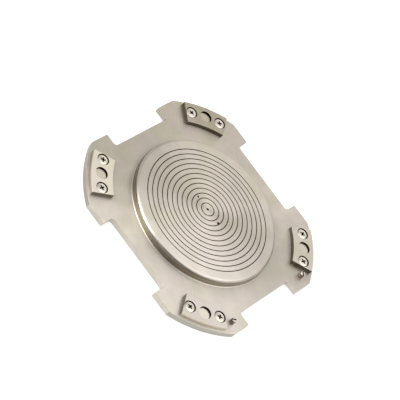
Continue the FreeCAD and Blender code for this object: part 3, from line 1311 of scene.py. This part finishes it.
@dataclass
class BlockScrew:
    """A countersunk screw with a raised head and a cross recess. Millimetres."""

    node: str
    direction: float
    turn: float
    tip: float = 0.2
    thread: float = 2.5
    head: float = 4.9
    rim_low: float = 9.7
    rim_top: float = 9.95
    rim_drop: float = 0.08
    crown: float = 10.3
    crown_shares: tuple[float, ...] = (0.97, 0.85, 0.7, 0.55, 0.4, 0.25, 0.1)
    recess_reach: float = 2.9
    recess_width: float = 1.8
    recess_depth: float = 1.6
    recess_taper: float = 0.7
    # Limits by which the faces of the recess are told apart
    recess_margin: float = 0.2
    recess_low: float = 7.7
    sunk_by: float = 0.3
    steep: float = 0.9

    def arm(self, direction: float) -> bmesh.types.BMesh:
        """Makes what is pressed in for one bar of the recess, narrower at its floor.

        Args:
            direction: Degrees about the screw's axis.

        Returns:
            The cutter.
        """
        size = (2 * self.recess_reach, self.recess_width, 2 * self.recess_depth)
        cutter = cuboid(size, (0, 0, self.crown))
        floor = [corner for corner in cutter.verts if corner.co.z < self.crown]
        bmesh.ops.scale(cutter, vec=(self.recess_taper, self.recess_taper, 1.0), verts=floor)
        place(cutter, direction, 0.0)
        return cutter

    def kind_of(self, face: bmesh.types.BMFace) -> ScrewFace:
        """Tells the screw's faces apart, while it stands on the Z axis.

        Args:
            face: A face of the screw.

        Returns:
            Its kind.
        """
        middle = face.calc_center_median()
        within = middle.xy.length < self.recess_reach + self.recess_margin
        sunk = middle.z < self.rim_top - self.sunk_by or face.normal.z < self.steep
        inside = within and middle.z > self.recess_low and sunk
        return ScrewFace.RECESS if inside else ScrewFace.OUTSIDE

    def build(self, finishes: dict[ScrewFace, bpy.types.Material]) -> bpy.types.Object:
        """Builds and dresses the screw.

        Args:
            finishes: The finish of each kind of face, in the order of their places.

        Returns:
            The piece.
        """
        neck = self.rim_low - (self.head - self.thread)
        rise = self.crown - self.rim_top
        outline = [(0.0, self.tip), (self.thread, self.tip), (self.thread, neck)]
        outline += [(self.head, self.rim_low), (self.head, self.rim_top - self.rim_drop)]
        for share in self.crown_shares:
            outline.append((self.head * share, self.rim_top + rise * (1 - share**2)))
        outline.append((0.0, self.crown))
        mesh = spun(outline, 64)
        for direction in (0.0, 90.0):
            mesh = combined(mesh, [self.arm(direction)])
        mesh.normal_update()
        for face in mesh.faces:
            face.material_index = self.kind_of(face).value
        place(mesh, self.direction, FITTINGS_RADIUS, self.turn - self.direction)
        name = self.node.replace("block_screw", "screw")
        materials = list(finishes.values())
        return finished(mesh, name, self.node, materials, keep_flats=False)


@dataclass
class FramePin:
    """A shouldered pin with a rounded nose and a driver's slot. Millimetres."""

    node: str
    direction: float
    slot_turn: float
    radius: float = 2.5
    shank: float = 2.0
    low: float = PIN_FLOOR
    shoulder: float = PLATE_TOP
    top: float = 11.5
    nose_round: float = 0.5
    slot_width: float = 1.2
    slot_depth: float = 1.4
    # A face whose normal has at least this much Z belongs to the nose
    nose_rise: float = 0.3

    def kind_of(self, face: bmesh.types.BMFace) -> PinFace:
        """Tells the pin's faces apart, while it stands on the Z axis.

        Args:
            face: A face of the pin.

        Returns:
            Its kind.
        """
        middle = face.calc_center_median()
        slot_low, slot_high = self.top - self.slot_depth - NEAR, self.top - NEAR
        within = middle.xy.length < self.radius - self.nose_round
        if within and slot_low < middle.z < slot_high:
            return PinFace.SLOT
        return PinFace.FLANK if face.normal.z < self.nose_rise else PinFace.NOSE

    def build(self, finishes: dict[PinFace, bpy.types.Material]) -> bpy.types.Object:
        """Builds and dresses the pin.

        Args:
            finishes: The finish of each kind of face, in the order of their places.

        Returns:
            The piece.
        """
        outline = [(0.0, self.low), (self.shank, self.low), (self.shank, self.shoulder)]
        outline += [(self.radius, self.shoulder), (self.radius, self.top), (0.0, self.top)]
        mesh = spun(outline, 64)
        rounded(mesh, ring_at(mesh, self.radius, self.top), self.nose_round, 5)
        size = (4 * self.radius, self.slot_width, 2 * self.slot_depth)
        mesh = combined(mesh, [cuboid(size, (0, 0, self.top))])
        mesh.normal_update()
        for face in mesh.faces:
            face.material_index = self.kind_of(face).value
        place(mesh, self.direction, PIN_CIRCLE, self.slot_turn - self.direction)
        name = self.node.replace("frame_pin", "pin")
        return finished(mesh, name, self.node, list(finishes.values()))


@dataclass
class KeptSolid:
    """A small CAD solid that keeps its shape and gets a finish."""

    node: str

    def dress(self, finish: bpy.types.Material) -> None:
        """Puts the finish on the solid.

        Args:
            finish: Its finish.
        """
        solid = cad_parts[self.node]
        solid.data.materials.clear()
        solid.data.materials.append(finish)
        log.info("%s: dressed", self.node)


@dataclass(frozen=True)
class SkyPatch:
    """A round patch of the surround that is lighter or darker than the rest.

    Its level holds out to the core and fades to nothing at the reach. Degrees, from +X.
    """

    azimuth: float
    elevation: float
    core: float
    reach: float
    level: float
    tint: Colour = WHITE

    def direction(self) -> Vector:
        """The direction from the chuck to the middle of the patch.

        Returns:
            The direction, with length 1.
        """
        around, rise = math.radians(self.azimuth), math.radians(self.elevation)
        flat = math.cos(rise)
        return Vector((flat * math.cos(around), flat * math.sin(around), math.sin(rise)))


LAMP_TINT = (1.0, 1.0, 1.03)
SKY_PATCHES = (
    # The soft light over the chuck, and paler surround at the back and the sides
    SkyPatch(38.0, 67.0, 10.0, 43.0, 1.2),
    SkyPatch(107.0, 8.0, 6.0, 24.0, 0.7),
    SkyPatch(103.0, 26.0, 5.0, 22.0, 0.5),
    SkyPatch(60.0, 50.0, 12.0, 40.0, 0.15),
    SkyPatch(0.0, 25.0, 20.0, 50.0, 0.1),
    # The lamps that the disc's wall and rim catch at the front left, and a faint one at the left
    SkyPatch(-133.0, 25.0, 12.0, 26.0, 4.2, LAMP_TINT),
    SkyPatch(-140.0, 52.0, 10.0, 30.0, 2.3, LAMP_TINT),
    SkyPatch(155.0, 38.0, 8.0, 34.0, 0.35),
    # Darker surround at the front and beside the lights
    SkyPatch(-74.0, 22.0, 22.0, 44.0, -0.36),
    SkyPatch(-72.0, 52.0, 18.0, 38.0, -0.33),
    SkyPatch(150.0, 15.0, 10.0, 40.0, -0.1),
    SkyPatch(60.0, 10.0, 8.0, 35.0, -0.24),
    # A paler patch high on the right
    SkyPatch(10.0, 60.0, 8.0, 30.0, 0.15),
)


@dataclass
class Studio:
    """Floor, sky, softbox and camera. Metres and degrees."""

    camera_place: tuple[float, float, float] = (0.175626, -1.247321, 1.20913)
    camera_turn: tuple[float, float, float] = (35.5328, -32.2724, 45.2839)
    camera_reach: float = 50.0
    lens: float = 178.0588
    sensor: float = 36.0
    floor_side: float = 12.0
    floor_drop: float = 0.0003
    floor_colour: Colour = (0.35, 0.35, 0.35)
    floor_glow: float = 0.8
    sky_level: float = 0.4
    sky_tint: Colour = (1.0, 0.99, 0.97)
    sky_least: Colour = (0.02, 0.02, 0.02)
    softbox_place: tuple[float, float, float] = (-0.2, 1.3, 1.3)
    softbox_side: float = 1.2
    softbox_level: float = 0.08

    def camera(self) -> None:
        """Sets up the camera at the photograph's angle."""
        data = bpy.data.cameras.new("camera")
        data.lens = self.lens
        data.sensor_width = self.sensor
        data.clip_end = self.camera_reach
        camera = bpy.data.objects.new("camera", data)
        camera.location = self.camera_place
        camera.rotation_euler = Euler([math.radians(angle) for angle in self.camera_turn])
        bpy.context.scene.collection.objects.link(camera)
        bpy.context.scene.camera = camera

    def floor(self) -> None:
        """Lays a plain pale floor that keeps the chuck's shadow."""
        mesh = bmesh.new()
        bmesh.ops.create_grid(mesh, x_segments=1, y_segments=1, size=self.floor_side / 2)
        bmesh.ops.translate(mesh, vec=(0, 0, -self.floor_drop), verts=mesh.verts)
        floor = linked("floor", mesh)
        material = bpy.data.materials.new("pale_floor")
        material.use_nodes = True
        tree = Tree(material.node_tree)
        path = tree.add("LightPath").outputs
        seen = tree.math("MAXIMUM", path["Is Camera Ray"], path["Is Glossy Ray"])
        seen = tree.math("MAXIMUM", seen, path["Is Transmission Ray"])
        matte = tree.add("BsdfDiffuse", {"Color": opaque(self.floor_colour)}).outputs[0]
        strength = tree.math("MULTIPLY", seen, self.floor_glow)
        glow = tree.add("Emission", {"Strength": strength}).outputs[0]
        both = tree.add("AddShader", {0: matte, 1: glow}).outputs[0]
        tree.add("OutputMaterial", {"Surface": both})
        floor.data.materials.append(material)

    def sky(self) -> None:
        """Puts a soft surround with lighter and darker patches round the chuck."""
        world = bpy.data.worlds.new("studio")
        bpy.context.scene.world = world
        world.use_nodes = True
        tree = Tree(world.node_tree)
        way = tree.add("TexCoord").outputs["Generated"]
        light = scaled(self.sky_tint, self.sky_level)
        for patch in SKY_PATCHES:
            facing = tree.vector("DOT_PRODUCT", way, patch.direction())["Value"]
            inner, outer = (math.cos(math.radians(side)) for side in (patch.core, patch.reach))
            share = tree.fit(facing, outer, inner, 0.0, 1.0)
            added = scaled(patch.tint, patch.level)
            light = tree.vector("MULTIPLY_ADD", share, added, light)["Vector"]
        light = tree.vector("MAXIMUM", light, self.sky_least)["Vector"]
        sky = tree.add("Background", {"Color": light, "Strength": 1.0})
        tree.add("OutputWorld", {"Surface": sky.outputs[0]})

    def softbox(self) -> None:
        """Hangs a square lamp that faces the chuck from the back."""
        data = bpy.data.lights.new("back_softbox", "AREA")
        data.shape = "SQUARE"
        data.size = self.softbox_side
        # At this power the lamp's face looks as bright as its level, where 1 is white
        data.energy = self.softbox_level * math.pi * self.softbox_side**2
        lamp = bpy.data.objects.new("back_softbox", data)
        lamp.location = self.softbox_place
        lamp.rotation_euler = Vector(self.softbox_place).to_track_quat("Z", "Y").to_euler()
        bpy.context.scene.collection.objects.link(lamp)

    def build(self) -> None:
        """Sets up everything round the chuck."""
        self.camera()
        self.floor()
        self.sky()
        self.softbox()
        bpy.context.scene.view_settings.view_transform = "Standard"


def build_body(groove: bpy.types.Material, bore: bpy.types.Material) -> None:
    """Builds the plate with its disc.

    Args:
        groove: Painted shade inside the grooves.
        bore: Painted shade inside the air holes.
    """
    plate = SatinNickel(
        name="satin_plate",
        light=(0.68, 0.617, 0.542),
        dark=(0.54, 0.50, 0.427),
        roughness=0.5,
        anisotropy=0.6,
        grain_turn=35.0,
        # Painted shade: the plate's walls are coloured a little darker than its top
        wall_painted_dark=0.8,
        wall_painted_light=0.92,
    )
    disc = SatinNickel(
        name="turned_disc",
        light=(0.69, 0.627, 0.549),
        dark=(0.575, 0.532, 0.455),
        roughness=0.38,
        anisotropy=0.64,
        ring_spacing=0.0006,
        # Painted shade: the disc's wall and the steep outer part of its rim are coloured at under
        # half their light
        wall_painted_dark=0.45,
        wall_painted_light=0.49,
        wall_limit=0.62,
        wall_roughness=0.14,
        wall_painted_tint=(1.0, 0.97, 0.9),
        wall_relief=0.0,
    )
    # Painted shade: the plate's outer arc walls get a copy of its plating at about half the light
    arc = SatinNickel(
        name="painted_shade_outer_arc",
        light=(0.40, 0.37, 0.32),
        dark=(0.35, 0.325, 0.28),
        roughness=0.4,
        wall_painted_dark=0.9,
    )
    ChuckBody().build(
        {
            BodyFace.PLATE: plate.material(),
            BodyFace.DISC: disc.material(),
            BodyFace.GROOVE: groove,
            BodyFace.HOLE: bore,
            BodyFace.ARC: arc.material(),
        }
    )


def build_lobes(bore: bpy.types.Material) -> None:
    """Builds each lobe's block, magnet and two screws.

    Args:
        bore: Painted shade inside the holes of the blocks and the recesses of the screws.
    """
    # Painted light: the blocks' outer arc walls get a lighter copy of the plating, with only a
    # faint painted shade
    arc = SatinNickel(
        name="block_arc",
        light=(0.62, 0.575, 0.485),
        dark=(0.56, 0.52, 0.435),
        roughness=0.3,
        wall_painted_dark=0.9,
    ).material()
    steel = PolishedSteel(name="screw_steel", colour=(0.82, 0.765, 0.66), roughness=0.16)
    screw = {ScrewFace.OUTSIDE: steel.material(), ScrewFace.RECESS: bore}
    screws_so_far = 0
    for lobe in Lobe:
        # Painted light and shade: the block's tone is set by how the light falls on its lobe
        light, dark = BLOCK_PAINTED_LIGHT_TONES[lobe]
        block = SatinNickel(
            name=f"satin_block_{lobe.label}",
            light=light,
            dark=dark,
            roughness=0.36,
            grain_turn=-20.0,
            # Painted shade: the block's walls are coloured at a fifth to a third of its tone
            wall_painted_dark=0.22,
            wall_painted_light=0.34,
            painted_gradient=0.0,
        ).material()
        block_finishes = {BlockFace.OUTSIDE: block, BlockFace.HOLE: bore, BlockFace.ARC: arc}
        MagnetBlock(lobe).build(block_finishes)
        # Painted light and shade: the magnet's tone is set by how the light falls on its lobe
        light, dark = MAGNET_PAINTED_LIGHT_TONES[lobe]
        magnet = MattePlate(
            name=f"magnet_face_{lobe.label}",
            light=light,
            dark=dark,
            roughness=0.2,
            metallic=1.0,
            relief=0.0000005,
        )
        Magnet(lobe).build(magnet.material())
        for number, side in ((1, -1), (2, 1)):
            node = f"block_screw_{lobe.label}_{number}"
            direction = lobe.value + side * SCREW_HALF_SPREAD
            BlockScrew(node, direction, SCREW_TURN_STEP * screws_so_far).build(screw)
            screws_so_far += 1


def build_pins(bore: bpy.types.Material) -> None:
    """Builds the two frame pins.

    Args:
        bore: Painted shade inside their slots.
    """
    nose = PolishedSteel(name="pin_steel", colour=(0.74, 0.69, 0.60), roughness=0.18)
    # Painted shade: the pins' flanks get a dark colour where shade falls on them
    flank = MattePlate(
        name="painted_shade_pin_flank",
        light=(0.32, 0.28, 0.23),
        dark=(0.22, 0.19, 0.15),
        roughness=0.35,
        metallic=1.0,
    )
    finishes = {
        PinFace.NOSE: nose.material(),
        PinFace.FLANK: flank.material(),
        PinFace.SLOT: bore,
    }
    FramePin("frame_pin_front", -PIN_DIRECTION, slot_turn=54.0).build(finishes)
    FramePin("frame_pin_back", PIN_DIRECTION, slot_turn=-40.0).build(finishes)


def dress_kept_solids() -> None:
    """Dresses the gallery's plug and the port's seal."""
    oxide = MattePlate(
        name="dark_oxide",
        light=(0.30, 0.30, 0.30),
        dark=(0.22, 0.22, 0.22),
        roughness=0.4,
        metallic=1.0,
    )
    rubber = MattePlate(
        name="black_rubber", light=(0.03, 0.03, 0.03), dark=(0.02, 0.02, 0.02), roughness=0.6
    )
    KeptSolid("gallery_plug").dress(oxide.material())
    KeptSolid("port_seal").dress(rubber.material())


def main() -> None:
    """Builds and dresses the chuck piece by piece, then the studio round it."""
    # Painted shade: near black inside the ring grooves
    groove = MattePlate(
        name="painted_shade_groove",
        light=(0.06, 0.03, 0.012),
        dark=(0.035, 0.018, 0.008),
        roughness=0.7,
        gloss=0.0,
    ).material()
    # Painted shade: near black inside the air holes, the magnets' holes, the screws' recesses and
    # the pins' slots
    bore = MattePlate(
        name="painted_shade_bore",
        light=(0.016, 0.010, 0.006),
        dark=(0.01, 0.006, 0.003),
        roughness=0.7,
        gloss=0.0,
    ).material()
    build_body(groove, bore)
    build_lobes(bore)
    build_pins(bore)
    dress_kept_solids()
    Studio().build()


if __name__ == "__main__":
    logging.basicConfig(level=logging.INFO, format="%(message)s")
    main()
